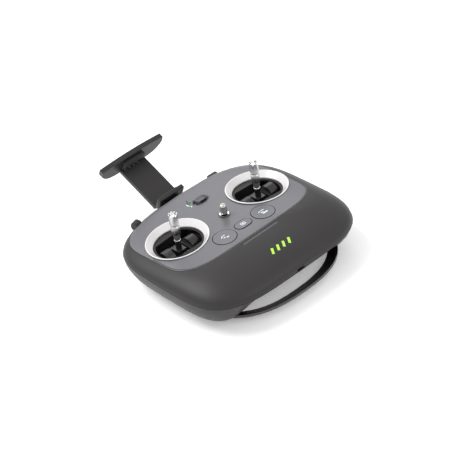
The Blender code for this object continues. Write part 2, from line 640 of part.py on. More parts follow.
# ---- phone clamp --------------------------------------------------------------------------------
def build_phone_clamp():
    """A tilting clamp: the near jaw and arm sleeve tilt on the bracket, the far jaw slides out of the sleeve."""
    x, y, z = HOLDER_HINGE
    bracket = box("clamp_bracket", (24.0, 6.0, 15.0), (0.0, y - 7.5, z - 1.5), DARK, deck, radius=0.8)
    for side, sign in (("left", -1.0), ("right", 1.0)):
        ear = box("bracket_ear_" + side, (3.4, 10.0, 7.6), (sign * 8.3, y - 4.0, z), None, deck)
        unite(bracket, ear)
        unite(bracket, cylinder("bracket_eye_" + side, 3.8, 3.4, (sign * 8.3, y, z), "X", None, deck, segments=20))
    cut(bracket, cylinder("bracket_bore", 1.5, 40.0, (0.0, y, z), "X", parent=deck))
    cylinder("clamp_hinge_pin", 1.25, 23.0, (0.0, y, z), "X", STEEL, deck)

    tilt = new_empty("clamp_pivot", HOLDER_HINGE, deck, (HOLDER_TILT, 0.0, 0.0))
    jaw = box("near_jaw", (27.6, 4.2, 12.8), (0.0, 6.0, 5.7), DARK, tilt, radius=0.8)
    unite(jaw, box("near_jaw_foot", (12.6, 7.0, 5.6), (0.0, 2.5, 0.0), None, tilt))
    unite(jaw, cylinder("near_jaw_knuckle", 3.4, 12.6, (0.0, 0.0, 0.0), "X", None, tilt))
    for side, sign in (("left", -1.0), ("right", 1.0)):
        cut(jaw, box("near_jaw_recess_" + side, (7.6, 2.0, 8.0), (sign * 7.4, 3.2, 6.6), None, tilt))
    cut(jaw, cylinder("near_jaw_bore", 1.5, 40.0, (0.0, 0.0, 0.0), "X", parent=tilt))

    sleeve_length = ARM_LENGTH - GAP
    sleeve_middle = ARM_FRONT + sleeve_length / 2
    sleeve = box("arm_sleeve", (ARM_WIDTH, sleeve_length, 4.6), (0.0, sleeve_middle, ARM_Z), DARK, tilt,
                 radius=0.5, segments=1)
    cut(sleeve, box("sleeve_hollow", (ARM_WIDTH - 3.6, ARM_LENGTH, 2.2), (0.0, sleeve_middle + 2.0, ARM_Z), None,
                    tilt))

    slide_y = ARM_FRONT + ARM_LENGTH + GAP
    slide = new_empty("clamp_slide", (0.0, slide_y, 0.0), tilt)
    tongue = box("arm_tongue", (ARM_WIDTH - 4.2, ARM_LENGTH - 4.0, 1.6), (0.0, -GAP - (ARM_LENGTH - 4.0) / 2, ARM_Z),
                 DARK, slide)
    far_jaw = extruded("far_jaw", far_jaw_outline(), -FAR_JAW_THICKNESS, 0.0, DARK, slide, (0.0, 0.0, 0.0),
                       (math.pi / 2, 0.0, 0.0))
    for step in range(4):
        notch_x = (step - 1.9) * 4.7
        cut(tongue, box("tongue_notch_%d" % step, ARM_NOTCH, (notch_x, -ARM_NOTCH_SETBACK, ARM_Z), None, slide))
        cut(sleeve, box("sleeve_notch_%d" % step, ARM_NOTCH, (notch_x, slide_y - ARM_NOTCH_SETBACK, ARM_Z), None,
                        tilt))
    bevel(far_jaw, 0.6, 1)
    box("far_jaw_pad", (23.0, 3.0, 6.4), (0.0, -1.8, 5.6), RUBBER, slide, radius=0.7)
    box("near_jaw_pad", (20.0, 1.2, 6.0), (0.0, 9.0, 6.2), RUBBER, tilt, radius=0.4, segments=1)


def far_jaw_outline():
    """Front view of the far jaw: a shallow arch on top, a deeper bow below."""
    half = FAR_JAW_LENGTH / 2
    count = 16
    top = []
    bottom = []
    for step in range(count + 1):
        x = half * math.cos(math.pi * step / count)
        rise = (x / half) ** 2
        top.append((x, 12.8 - 2.2 * rise))
        bottom.append((-x, -5.4 + 10.0 * rise ** 3.0))
    return top + bottom


# ---- carry handle -------------------------------------------------------------------------------
def build_carry_handle():
    """A flat band bent into a bow, whose outer edge stands a little higher than its inner one."""
    pivot = new_empty("handle_pivot", (0.0, HANDLE_PIN_Y, HANDLE_PIN_Z), deck)
    bm = bmesh.new()
    sections = []
    count = 28
    for step in range(count + 1):
        turn = math.pi * step / count
        outer_x, outer_y = handle_edge(HANDLE_OUTER, turn)
        inner_x, inner_y = handle_edge(HANDLE_INNER, turn)
        lift = HANDLE_TWIST * math.sin(turn)
        half = HANDLE_THICKNESS / 2
        corners = [(outer_x, outer_y, lift + half), (inner_x, inner_y, half - lift),
                   (inner_x, inner_y, -lift - half), (outer_x, outer_y, lift - half)]
        sections.append([bm.verts.new(Vector(corner) * MM) for corner in corners])
    for section, following in zip(sections, sections[1:]):
        for edge in range(4):
            after = (edge + 1) % 4
            bm.faces.new((section[edge], section[after], following[after], following[edge]))
    bm.faces.new(reversed(sections[0]))
    bm.faces.new(sections[-1])
    bmesh.ops.recalc_face_normals(bm, faces=bm.faces)
    band = add_object("carry_handle", mesh_from(bm, "carry_handle"), BLACK, pivot)
    middle_x = (HANDLE_OUTER[0] + HANDLE_INNER[0]) / 2
    for side, sign in (("left", -1.0), ("right", 1.0)):
        eye = cylinder("handle_eye_" + side, 3.6, HANDLE_OUTER[0] - HANDLE_INNER[0] + 0.2, (sign * middle_x, 0.0, 0.0),
                       "X", None, pivot)
        unite(band, eye)
        cut(band, cylinder("handle_eye_bore_" + side, 1.75, 20.0, (sign * middle_x, 0.0, 0.0), "X", parent=pivot))
        mount_x = HANDLE_INNER[0] - HANDLE_CLEARANCE - 5.7
        mount = box("handle_mount_" + side, (11.0, 14.0, 8.6), (sign * mount_x, HANDLE_PIN_Y, HANDLE_PIN_Z + 2.7),
                    DARK, deck)
        cut(mount, cylinder("mount_bore_" + side, 1.75, 24.0, (sign * mount_x, HANDLE_PIN_Y, HANDLE_PIN_Z), "X",
                            parent=deck, segments=20))
        cylinder("handle_pin_" + side, 1.5, 18.0, (sign * (mount_x + 4.0), HANDLE_PIN_Y, HANDLE_PIN_Z), "X", STEEL,
                 deck, segments=20)
    return smooth(band, 40.0)


# ---- small fixed pieces -------------------------------------------------------------------------
def build_charge_port():
    width, height = PORT_SIZE
    port = box("charge_port", (width, 6.0, height), (0.0, -94.6, PORT_Z), STEEL, deck)
    return cut(port, box("port_mouth", (width - 1.0, 6.0, height - 1.0), (0.0, -96.0, PORT_Z), None, deck))


def build_feet():
    foot_top = BELLY_Z - GAP
    for x, y, name in ((-38.0, -52.0, "near_left"), (38.0, -52.0, "near_right"), (-44.0, 14.0, "far_left"),
                       (44.0, 14.0, "far_right")):
        low = -DECK_HEIGHT
        smooth(turned("foot_" + name, [(0.0, foot_top), (6.0, foot_top), (6.0, low + 0.4), (5.6, low), (0.0, low)],
                      RUBBER, deck, (x, y, 0.0), steps=24))


build_rear_shell()
build_upper_shell()
build_faceplate()
build_led_window()
build_internals()
for gimbal_side, gimbal_sign in (("left", -1.0), ("right", 1.0)):
    build_gimbal(gimbal_side, gimbal_sign)
build_deck_controls()
build_shoulder_controls()
build_phone_clamp()
build_carry_handle()
build_charge_port()
build_feet()
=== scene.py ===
"""Looks of a handheld radio transmitter controller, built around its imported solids."""

import math

import bmesh
import bpy
from mathutils import Matrix, Vector
from mathutils.bvhtree import BVHTree


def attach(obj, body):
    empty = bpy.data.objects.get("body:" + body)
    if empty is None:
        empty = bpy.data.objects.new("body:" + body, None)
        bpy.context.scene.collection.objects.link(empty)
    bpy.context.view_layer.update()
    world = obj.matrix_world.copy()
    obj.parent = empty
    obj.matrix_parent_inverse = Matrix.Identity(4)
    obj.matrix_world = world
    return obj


bl_info = {
    "name": "Radio transmitter controller",
    "version": (1, 0, 0),
    "blender": (4, 5, 0),
    "location": "View3D > Sidebar > Radio",
    "description": "Finishes, fine detail and studio for a handheld radio transmitter controller",
    "category": "Object",
}

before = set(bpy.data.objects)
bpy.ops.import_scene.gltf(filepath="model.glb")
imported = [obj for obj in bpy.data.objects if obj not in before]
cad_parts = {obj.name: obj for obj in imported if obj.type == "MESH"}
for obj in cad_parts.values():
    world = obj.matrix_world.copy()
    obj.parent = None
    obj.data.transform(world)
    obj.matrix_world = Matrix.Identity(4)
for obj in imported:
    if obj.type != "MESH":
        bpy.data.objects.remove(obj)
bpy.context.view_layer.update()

MM = 0.001
DECK_ORIGIN = Vector((0.0, -9.1, 43.0))      # middle of the control deck, in millimetres
SIDES = ("left", "right")

# Places and sizes on the deck, in millimetres.
PLATE_HALF_WIDTH = 74.0
PLATE_HALF_LENGTH = 49.3
PLATE_MIDDLE_Y = -0.7
PLATE_CORNER_POWER = 0.4762                 # how square the outline's corners are: 1 is an ellipse
# The painted seam shadow line runs this far inside the deck's near outline, drawn in this many steps.
PLATE_LINE_INSET = 0.8
PLATE_LINE_STEPS = 32
SLIDER_Y = 25.3
SLIDER_END_REACH = 3.2                      # the slider's ends lie beyond this, from its middle
TOGGLE_Y = -9.0
# A painted ring of shade round the toggle nut, in place of its shadowed recess.
TOGGLE_RING_RADIUS = 4.9
TOGGLE_RING_STEPS = 20
SLOPE_BARS = 4
SLOPE_BAR_FIRST_X = -8.6
SLOPE_BAR_PITCH = 6.1
SLOPE_BAR_WIDTH = 2.1
SLOPE_BAR_ENDS = ((-1.4, -79.0), (1.8, -73.6))

# How far printed ink, and the lines of painted shade, stand above a surface, in millimetres.
PAINTED_SHADE_LIFT = 0.03
INK = 0.04
THICK_INK = 0.05
STRIP_STEP = 1.2                            # a printed strip follows its surface at this pitch
ABOVE_DECK = 60.0                           # a height clear of every solid that carries print

# A face whose normal has a Z part below these belongs to a wall or a bevel; these get painted shade, the
# handle's outward walls a painted reflection.
PLATE_WALL = 0.5
BUTTON_BEVEL = 0.95
SLIDER_WALL = 0.3
BAND_WALL = 0.6

# Joining and creasing of the solids' meshes.
WELD_DISTANCE = 0.000002
SOLID_CREASE = 32.0
RING_CREASE = 25.0
PIECE_CREASE = 40.0

# Strokes of the button icons from the button's middle: (start, end, width), in millimetres.
LEFT_ICON = (((-3.0, 0.6), (-0.8, 2.4), 0.8), ((-0.6, 2.2), (1.8, 2.2), 0.7),
             ((-1.8, -0.6), (0.4, -0.6), 0.9), ((0.6, -2.0), (3.0, -2.0), 1.2))
RIGHT_ICON = (((-3.4, 1.2), (-1.8, 2.6), 0.8), ((-1.2, 2.2), (3.0, 2.2), 0.7),
              ((-2.4, -0.2), (0.6, -0.2), 0.9), ((-1.8, -2.2), (3.4, -2.2), 1.5))
MIDDLE_ICON = (((-2.0, 1.5), (2.0, 1.5), 0.6), ((2.0, 1.5), (2.0, -1.5), 0.6),
               ((2.0, -1.5), (-2.0, -1.5), 0.6), ((-2.0, -1.5), (-2.0, 1.5), 0.6),
               ((-0.8, 0.0), (0.8, 0.0), 1.1))
BUTTON_ICONS = (("left", -21.4, -33.2, LEFT_ICON), ("right", 21.4, -33.2, RIGHT_ICON),
                ("middle", 0.0, -32.2, MIDDLE_ICON))

# Lights: place and diameter in metres, power as a share of the key light's.
KEY_LIGHT_PLACE = (-0.7, 0.9, 1.7)
KEY_LIGHT_SIZE = 1.2
FAR_PANEL_PLACE = (0.80, 1.08, 0.87)
FAR_PANEL_SIZE = 0.5
FAR_PANEL_SHARE = 0.045
FRONT_LIGHT_PLACE = (0.5, -1.4, 1.2)
FRONT_LIGHT_SIZE = 0.9
FRONT_LIGHT_SHARE = 0.15
FLOOR_HALF_SIZE = 4.0
FLOOR_CELLS = 8

# The camera looks at a point of the deck: angles in radians, target and distance in millimetres.
CAMERA_AZIMUTH = math.radians(-36.44)
CAMERA_ELEVATION = math.radians(36.62)
CAMERA_ROLL = math.radians(-9.89)
CAMERA_TARGET = (-10.98, -28.35, 0.0)
CAMERA_DISTANCE = 1556.6
CAMERA_LENS = 148.37
CAMERA_SENSOR = 36.0
CAMERA_NEAR = 0.05
CAMERA_FAR = 20.0


def deck_point(x, y, z):
    """A point given from the middle of the deck, in millimetres, as a point of the frame."""
    return (DECK_ORIGIN + Vector((x, y, z))) * MM


def plate_edge(turn, grow):
    """A point of the control deck's outline, moved outwards by grow millimetres."""
    across, along = (math.copysign(abs(value) ** PLATE_CORNER_POWER, value)
                     for value in (math.cos(turn), math.sin(turn)))
    return (PLATE_HALF_WIDTH + grow) * across, PLATE_MIDDLE_Y + (PLATE_HALF_LENGTH + grow) * along


# ---- shader node groups -------------------------------------------------------------------------
def new_group(name, inputs, outputs):
    """An empty shader group: inputs and outputs are (name, kind, default) rows."""
    group = bpy.data.node_groups.new(name, "ShaderNodeTree")
    for title, kind, default in inputs:
        socket = group.interface.new_socket(title, in_out="INPUT", socket_type=kind)
        socket.default_value = default
    for title, kind in outputs:
        group.interface.new_socket(title, in_out="OUTPUT", socket_type=kind)
    return group, group.nodes.new("NodeGroupInput"), group.nodes.new("NodeGroupOutput")


def add_node(tree, kind, settings=None, **inputs):
    """A node with its plain settings and its input values."""
    node = tree.nodes.new(kind)
    for key, value in (settings or {}).items():
        setattr(node, key, value)
    for key, value in inputs.items():
        node.inputs[key.replace("_", " ")].default_value = value
    return node


def scaled_place(tree, scale_socket):
    """Object coordinates times a scale, so that a texture keeps its real size."""
    place = tree.nodes.new("ShaderNodeTexCoord")
    scaled = add_node(tree, "ShaderNodeVectorMath", {"operation": "SCALE"})
    tree.links.new(place.outputs["Object"], scaled.inputs[0])
    tree.links.new(scale_socket, scaled.inputs["Scale"])
    return scaled.outputs[0]


def maths(tree, operation, first, second):
    """The output of one sum: each operand is a number or a socket."""
    node = add_node(tree, "ShaderNodeMath", {"operation": operation})
    for index, value in enumerate((first, second)):
        if isinstance(value, (int, float)):
            node.inputs[index].default_value = value
        else:
            tree.links.new(value, node.inputs[index])
    return node.outputs[0]


def moulded_grain_group():
    """Fine moulded grain over slow unevenness: a height, and a colour that drifts a little."""
    group, given, out = new_group(
        "moulded_grain",
        [("Colour", "NodeSocketColor", (0.1, 0.1, 0.1, 1.0)), ("Drift", "NodeSocketFloat", 0.08),
         ("Grain Scale", "NodeSocketFloat", 3000.0), ("Base Roughness", "NodeSocketFloat", 0.5),
         ("Roughness Drift", "NodeSocketFloat", 0.08)],
        [("Colour", "NodeSocketColor"), ("Roughness", "NodeSocketFloat"), ("Height", "NodeSocketFloat")])
    place = scaled_place(group, given.outputs["Grain Scale"])
    grain = add_node(group, "ShaderNodeTexNoise", Detail=3.0, Roughness=0.6, Scale=1.0)
    pits = add_node(group, "ShaderNodeTexVoronoi", {"feature": "SMOOTH_F1"}, Scale=0.7)
    group.links.new(place, grain.inputs["Vector"])
    group.links.new(place, pits.inputs["Vector"])
    whole = group.nodes.new("ShaderNodeTexCoord")
    smudge = add_node(group, "ShaderNodeTexNoise", Scale=28.0, Detail=4.0, Roughness=0.55)
    group.links.new(whole.outputs["Object"], smudge.inputs["Vector"])
    smudge_centred = maths(group, "SUBTRACT", smudge.outputs[0], 0.5)
    grain_centred = maths(group, "SUBTRACT", grain.outputs[0], 0.5)
    uneven = maths(group, "ADD", smudge_centred, grain_centred)
    shift = maths(group, "MULTIPLY", uneven, given.outputs["Drift"])
    bright = maths(group, "ADD", shift, 1.0)
    tinted = add_node(group, "ShaderNodeVectorMath", {"operation": "SCALE"})
    group.links.new(given.outputs["Colour"], tinted.inputs[0])
    group.links.new(bright, tinted.inputs["Scale"])
    group.links.new(tinted.outputs[0], out.inputs["Colour"])
    rough = maths(group, "ADD", given.outputs["Base Roughness"],
                  maths(group, "MULTIPLY", smudge_centred, given.outputs["Roughness Drift"]))
    group.links.new(rough, out.inputs["Roughness"])
    shallow_pits = maths(group, "MULTIPLY", pits.outputs["Distance"], 0.5)
    group.links.new(maths(group, "ADD", grain.outputs[0], shallow_pits), out.inputs["Height"])
    return group


def turned_lines_group():
    """Fine rings left by a lathe along Z, with hair scratches."""
    group, given, out = new_group(
        "turned_lines",
        [("Ring Scale", "NodeSocketFloat", 2200.0), ("Base Roughness", "NodeSocketFloat", 0.2),
         ("Colour", "NodeSocketColor", (0.8, 0.8, 0.8, 1.0))],
        [("Colour", "NodeSocketColor"), ("Roughness", "NodeSocketFloat"), ("Height", "NodeSocketFloat")])
    place = scaled_place(group, given.outputs["Ring Scale"])
    wave = add_node(group, "ShaderNodeTexWave", {"bands_direction": "Z"},
                    Scale=0.3, Distortion=0.4, Detail=2.0)
    hairs = add_node(group, "ShaderNodeTexNoise", Scale=0.6, Detail=4.0, Roughness=0.7)
    group.links.new(place, wave.inputs["Vector"])
    group.links.new(place, hairs.inputs["Vector"])
    rough = maths(group, "ADD", given.outputs["Base Roughness"],
                  maths(group, "MULTIPLY", hairs.outputs[0], 0.1))
    group.links.new(rough, out.inputs["Roughness"])
    bright = maths(group, "ADD", maths(group, "MULTIPLY", hairs.outputs[0], 0.12), 0.94)
    tinted = add_node(group, "ShaderNodeVectorMath", {"operation": "SCALE"})
    group.links.new(given.outputs["Colour"], tinted.inputs[0])
    group.links.new(bright, tinted.inputs["Scale"])
    group.links.new(tinted.outputs[0], out.inputs["Colour"])
    group.links.new(wave.outputs["Fac"], out.inputs["Height"])
    return group


GROUP_MAKERS = {"moulded_grain": moulded_grain_group, "turned_lines": turned_lines_group}
GROUPS = {}


def finish_of(name, group_name, colour, shader_values=None, bump=0.1, bump_distance=0.00005, **values):
    """A material whose colour, roughness and bump come from one of the shared groups."""
    if name in bpy.data.materials:
        return bpy.data.materials[name]
    if group_name not in GROUPS:
        GROUPS[group_name] = GROUP_MAKERS[group_name]()
    material = bpy.data.materials.new(name)
    material.use_nodes = True
    tree = material.node_tree
    shader = tree.nodes["Principled BSDF"]
    group = tree.nodes.new("ShaderNodeGroup")
    group.node_tree = GROUPS[group_name]
    group.inputs["Colour"].default_value = (*colour[:3], 1.0)
    for key, value in values.items():
        group.inputs[key.replace("_", " ")].default_value = value
    tree.links.new(group.outputs["Colour"], shader.inputs["Base Color"])
    tree.links.new(group.outputs["Roughness"], shader.inputs["Roughness"])
    relief = add_node(tree, "ShaderNodeBump", Strength=bump, Distance=bump_distance)
    tree.links.new(group.outputs["Height"], relief.inputs["Height"])
    tree.links.new(relief.outputs["Normal"], shader.inputs["Normal"])
    for key, value in (shader_values or {}).items():
        shader.inputs[key].default_value = value
    return material


def finishes():
    """The colours that a user can change."""
    return bpy.context.scene.radio_finishes


def charcoal_shell():
    return finish_of("soft_touch_charcoal", "moulded_grain", finishes().shell_colour,
                     {"Sheen Weight": 0.03, "Sheen Roughness": 0.4, "Sheen Tint": (1.0, 0.93, 0.92, 1.0),
                      "Specular IOR Level": 0.36}, bump=0.12, Base_Roughness=0.46, Grain_Scale=2600.0)


def deck_paint():
    return finish_of("satin_grey_paint", "moulded_grain", finishes().deck_colour,
                     {"Metallic": 0.45, "Coat Weight": 0.1, "Coat Roughness": 0.3},
                     bump=0.06, Base_Roughness=0.42, Grain_Scale=4200.0, Drift=0.1)


def pale_ring():
    return finish_of("pale_gloss_ring", "moulded_grain", finishes().ring_colour,
                     {"Coat Weight": 0.4, "Coat Roughness": 0.12, "Subsurface Weight": 0.05,
                      "Subsurface Radius": (0.002, 0.002, 0.002)},
                     bump=0.02, Base_Roughness=0.3, Drift=0.02)


def clamp_plastic():
    return finish_of("moulded_clamp_plastic", "moulded_grain", (0.026, 0.0235, 0.025),
                     {"Specular IOR Level": 0.32}, bump=0.2, Base_Roughness=0.44, Grain_Scale=1700.0)


def gimbal_plastic():
    return finish_of("gimbal_cover_plastic", "moulded_grain", (0.02, 0.02, 0.022),
                     {"Specular IOR Level": 0.25}, bump=0.15, Base_Roughness=0.42, Grain_Scale=2600.0)


def yoke_plastic():
    return finish_of("gimbal_yoke_plastic", "moulded_grain", (0.012, 0.012, 0.013), {"Coat Weight": 0.15},
                     bump=0.06, Base_Roughness=0.33)


def handle_gloss():
    return finish_of("polished_black_band", "moulded_grain", finishes().handle_colour,
                     {"Coat Weight": 0.5, "Coat Roughness": 0.08}, bump=0.03, Base_Roughness=0.3)


def turned_aluminium():
    return finish_of("turned_aluminium", "turned_lines", (0.6, 0.6, 0.61), {"Metallic": 1.0}, bump=0.12,
                     Base_Roughness=0.2)


def chrome_plate():
    return finish_of("bright_chrome", "turned_lines", (0.6, 0.58, 0.55), {"Metallic": 1.0}, bump=0.01,
                     Base_Roughness=0.04)


def drawn_steel():
    return finish_of("drawn_steel", "turned_lines", (0.52, 0.52, 0.53), {"Metallic": 1.0}, bump=0.1,
                     Base_Roughness=0.28)


def turned_brass():
    return finish_of("turned_brass", "turned_lines", (0.62, 0.47, 0.25), {"Metallic": 1.0}, bump=0.1,
                     Base_Roughness=0.25)


def nickel_brass():
    return finish_of("nickel_brass", "turned_lines", (0.7, 0.63, 0.54), {"Metallic": 1.0}, bump=0.1,
                     Base_Roughness=0.18)


def sleeve_plastic():
    return finish_of("stick_sleeve_plastic", "moulded_grain", (0.11, 0.11, 0.115), {"Coat Weight": 0.3},
                     bump=0.05, Base_Roughness=0.3)


# Near-black painted shade, laid on walls, bevels and grooves that lie in shadow.
def groove_shade():
    return finish_of("painted_groove_shade", "moulded_grain", (0.014, 0.014, 0.016), {"Specular IOR Level": 0.3},
                     bump=0.1, Base_Roughness=0.5)


# A lighter, warm painted reflection for the carry handle's outward walls.
def painted_band_reflection():
    return finish_of("band_rim_painted_reflection", "moulded_grain", (0.045, 0.034, 0.034), {"Coat Weight": 0.3},
                     bump=0.05, Base_Roughness=0.35)


def matt_rubber():
    return finish_of("matt_rubber", "moulded_grain", (0.022, 0.022, 0.024), {"Sheen Weight": 0.05}, bump=0.3,
                     Base_Roughness=0.72, Grain_Scale=1500.0)


def smoked_lens():
    return finish_of("smoked_lens", "moulded_grain", (0.018, 0.017, 0.018), {"Specular IOR Level": 0.3},
                     bump=0.01, Base_Roughness=0.3)


def board_laminate():
    return finish_of("board_laminate", "moulded_grain", (0.02, 0.14, 0.06), bump=0.1, Base_Roughness=0.4)


def battery_wrap():
    return finish_of("battery_wrap", "moulded_grain", (0.08, 0.16, 0.4), bump=0.05, Base_Roughness=0.35)


# A flat paint for printed marks; the dark one also gives the lines of painted shade on the deck.
def print_and_shade_paint(name, colour):
    return finish_of(name, "moulded_grain", colour, bump=0.05, Base_Roughness=0.45, Drift=0.05)


# ---- dressing the solids ------------------------------------------------------------------------
def dress(material, *names, crease=SOLID_CREASE, round_edges=0.0):
    """Give solids their finish, smooth their curved faces and, if asked, soften their edges."""
    for name in names:
        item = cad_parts[name]
        mesh = item.data
        mesh.materials.clear()
        mesh.materials.append(material)
        if "custom_normal" in mesh.attributes:
            mesh.attributes.remove(mesh.attributes["custom_normal"])
        mesh.shade_smooth()
        weld = item.modifiers.new("weld", "WELD")
        weld.merge_threshold = WELD_DISTANCE
        if round_edges:
            rounding = item.modifiers.new("soft_edges", "BEVEL")
            rounding.width = round_edges * MM
            rounding.segments = 2
            rounding.limit_method = "ANGLE"
            rounding.angle_limit = math.radians(crease)
            rounding.harden_normals = True
        split = item.modifiers.new("creases", "EDGE_SPLIT")
        split.split_angle = math.radians(crease)


def tint_faces(name, material, chosen):
    """Give the faces of a solid picked by their middle and normal a second material: the painted shade on
    walls and bevels, and the handle's painted reflection.
    """
    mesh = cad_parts[name].data
    mesh.materials.append(material)
    for face in mesh.polygons:
        if chosen(face.center, face.normal):
            face.material_index = 1


def add_piece(name, bm, material, body):
    """A new piece in the frame's own coordinates, riding on a body."""
    mesh = bpy.data.meshes.new(name)
    bm.to_mesh(mesh)
    bm.free()
    mesh.shade_smooth()
    mesh.set_sharp_from_angle(angle=math.radians(PIECE_CREASE))
    mesh.materials.append(material)
    item = bpy.data.objects.new(name, mesh)
    bpy.context.scene.collection.objects.link(item)
    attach(item, body)


SURFACES = {}


def dropped(node, x, y, lift):
    """The point of a solid's upper side straight below (x, y) of the deck, raised by lift millimetres."""
    if node not in SURFACES:
        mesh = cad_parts[node].data
        SURFACES[node] = BVHTree.FromPolygons([vertex.co for vertex in mesh.vertices],
                                              [face.vertices for face in mesh.polygons])
    start = deck_point(x, y, ABOVE_DECK)
    hit, normal, _, _ = SURFACES[node].ray_cast(start, Vector((0.0, 0.0, -1.0)))
    if hit is None:
        raise ValueError("no surface of %s below (%.1f, %.1f)" % (node, x, y))
    return hit + normal * lift * MM


def print_and_shade_strips(name, node, strips, thickness, material, body):
    """Straight strips laid on a solid's upper side, for printed marks and for lines of painted shade.

    Each strip is ((x, y), (x, y), width) on the deck, in millimetres.
    """
    bm = bmesh.new()
    for (x0, y0), (x1, y1), width in strips:
        length = math.hypot(x1 - x0, y1 - y0)
        across = ((y0 - y1) / length * width / 2, (x1 - x0) / length * width / 2)
        steps = max(1, round(length / STRIP_STEP))
        rows = []
        for step in range(steps + 1):
            share = step / steps
            x, y = x0 + (x1 - x0) * share, y0 + (y1 - y0) * share
            row = []
            for way in (-1.0, 1.0):
                for lift in (thickness, -thickness):
                    corner = dropped(node, x + way * across[0], y + way * across[1], lift)
                    row.append(bm.verts.new(corner))
            rows.append(row)
        for row, following in zip(rows, rows[1:]):
            for first, second in ((0, 1), (1, 3), (3, 2), (2, 0)):
                bm.faces.new((row[first], row[second], following[second], following[first]))
        for row in (rows[0], rows[-1]):
            bm.faces.new((row[0], row[1], row[3], row[2]))
    bmesh.ops.recalc_face_normals(bm, faces=bm.faces)
    add_piece(name, bm, material, body)


# ---- what a user can change ---------------------------------------------------------------------
def colour_property(name, description, default):
    """A colour that a user can change."""
    return bpy.props.FloatVectorProperty(name=name, description=description, default=default,
                                         subtype="COLOR", size=3, min=0.0, max=1.0)


class RadioFinishes(bpy.types.PropertyGroup):
    shell_colour: colour_property("Shell", "Colour of the soft-touch shells", (0.027, 0.0245, 0.026))
    deck_colour: colour_property("Deck", "Colour of the control deck", (0.163, 0.163, 0.178))
    ring_colour: colour_property("Rings", "Colour of the gimbal rings", (0.74, 0.72, 0.72))
    handle_colour: colour_property("Handle", "Colour of the carry handle", (0.009, 0.008, 0.008))
    mark_colour: colour_property("Mark", "Colour of the printed mark", (0.45, 0.82, 0.06))


class RadioStudio(bpy.types.PropertyGroup):
    key_power: bpy.props.FloatProperty(name="Key light", description="Power of the large overhead light",
                                       default=26.0, min=0.0, unit="POWER")
    sky_strength: bpy.props.FloatProperty(name="Surround", description="Brightness of the white surround",
                                          default=0.85, min=0.0)
    floor_colour: colour_property("Floor", "Colour of the floor", (0.93, 0.93, 0.93))
    floor_glow: bpy.props.FloatProperty(name="Floor glow", description="Light given off by the lit floor",
                                        default=0.24, min=0.0)


# ---- pieces -------------------------------------------------------------------------------------
class BodyShells(bpy.types.Operator):
    """Finish the two shells and print the mark on the near slope"""

    bl_idname = "radio.body_shells"
    bl_label = "Body shells"

    def execute(self, context):
        dress(charcoal_shell(), "upper_shell", "rear_shell")
        dress(smoked_lens(), "led_window")
        strips = []
        for step in range(SLOPE_BARS):
            x = SLOPE_BAR_FIRST_X + SLOPE_BAR_PITCH * step
            (start_x, start_y), (end_x, end_y) = SLOPE_BAR_ENDS
            strips.append(((x + start_x, start_y), (x + end_x, end_y), SLOPE_BAR_WIDTH))
        lime = print_and_shade_paint("lime_print", finishes().mark_colour)
        print_and_shade_strips("slope_mark", "upper_shell", strips, THICK_INK, lime, "housing")
        return {"FINISHED"}


class ControlDeck(bpy.types.Operator):
    """Finish the control deck plate, paint shade on its walls, along its near seam and round the toggle, and
    print the mark beside the power slider
    """

    bl_idname = "radio.control_deck"
    bl_label = "Control deck"

    def execute(self, context):
        dress(deck_paint(), "faceplate")
        # Painted shade: the plate's outer walls and the walls of its holes are made near-black, as the gaps
        # round them lie in shadow.
        tint_faces("faceplate", groove_shade(), lambda middle, normal: normal.z < PLATE_WALL)
        dark = print_and_shade_paint("dark_print_and_painted_shade", (0.03, 0.03, 0.032))
        pale = print_and_shade_paint("pale_print", (0.75, 0.78, 0.8))
        green = print_and_shade_paint("green_print", (0.05, 0.35, 0.06))
        # The painted seam shadow line along the plate's near edge.
        edge = [plate_edge(math.pi + math.pi * step / PLATE_LINE_STEPS, -PLATE_LINE_INSET)
                for step in range(PLATE_LINE_STEPS + 1)]
        # The painted shade ring round the toggle nut.
        around = [2 * math.pi * step / TOGGLE_RING_STEPS for step in range(TOGGLE_RING_STEPS + 1)]
        ring = [(TOGGLE_RING_RADIUS * math.cos(turn), TOGGLE_Y + TOGGLE_RING_RADIUS * math.sin(turn))
                for turn in around]
        chevron = [((-4.2, 35.6), (-7.0, 29.8), 1.0), ((-6.8, 29.4), (-3.4, 30.9), 1.0)]
        pale_ticks = [((-8.6, 30.6), (-8.3, 26.9), 0.9), ((-6.8, 25.8), (-8.0, 24.2), 0.8)]
        strip_pieces = (
            ("slider_chevron", chevron, INK, dark),
            ("slider_tick_green", [((-1.9, 31.3), (-5.7, 27.4), 0.7)], THICK_INK, green),
            ("slider_tick_pale", pale_ticks, INK, pale),
            # Painted shade: the near seam line and the ring round the toggle are dark paint standing for
            # shadow.
            ("painted_seam_shadow_line", [(a, b, 0.95) for a, b in zip(edge, edge[1:])], PAINTED_SHADE_LIFT, dark),
            ("toggle_painted_shade_ring", [(a, b, 0.7) for a, b in zip(ring, ring[1:])], PAINTED_SHADE_LIFT, dark),
        )
        for name, strips, thickness, strip_paint in strip_pieces:
            print_and_shade_strips(name, "faceplate", strips, thickness, strip_paint, "housing")
        return {"FINISHED"}


class Gimbals(bpy.types.Operator):
    """Finish both stick gimbals"""

    bl_idname = "radio.gimbals"
    bl_label = "Stick gimbals"

    def execute(self, context):
        for side in SIDES:
            dress(pale_ring(), "gimbal_ring_" + side, crease=RING_CREASE)
            dress(gimbal_plastic(), "gimbal_cover_" + side, "gimbal_frame_" + side)
            dress(yoke_plastic(), "gimbal_yoke_" + side, "stick_block_" + side)
            dress(nickel_brass(), "stick_nut_" + side)
            dress(sleeve_plastic(), "stick_sleeve_" + side)
            dress(turned_aluminium(), "stick_grip_" + side, "stick_cap_" + side)
        return {"FINISHED"}


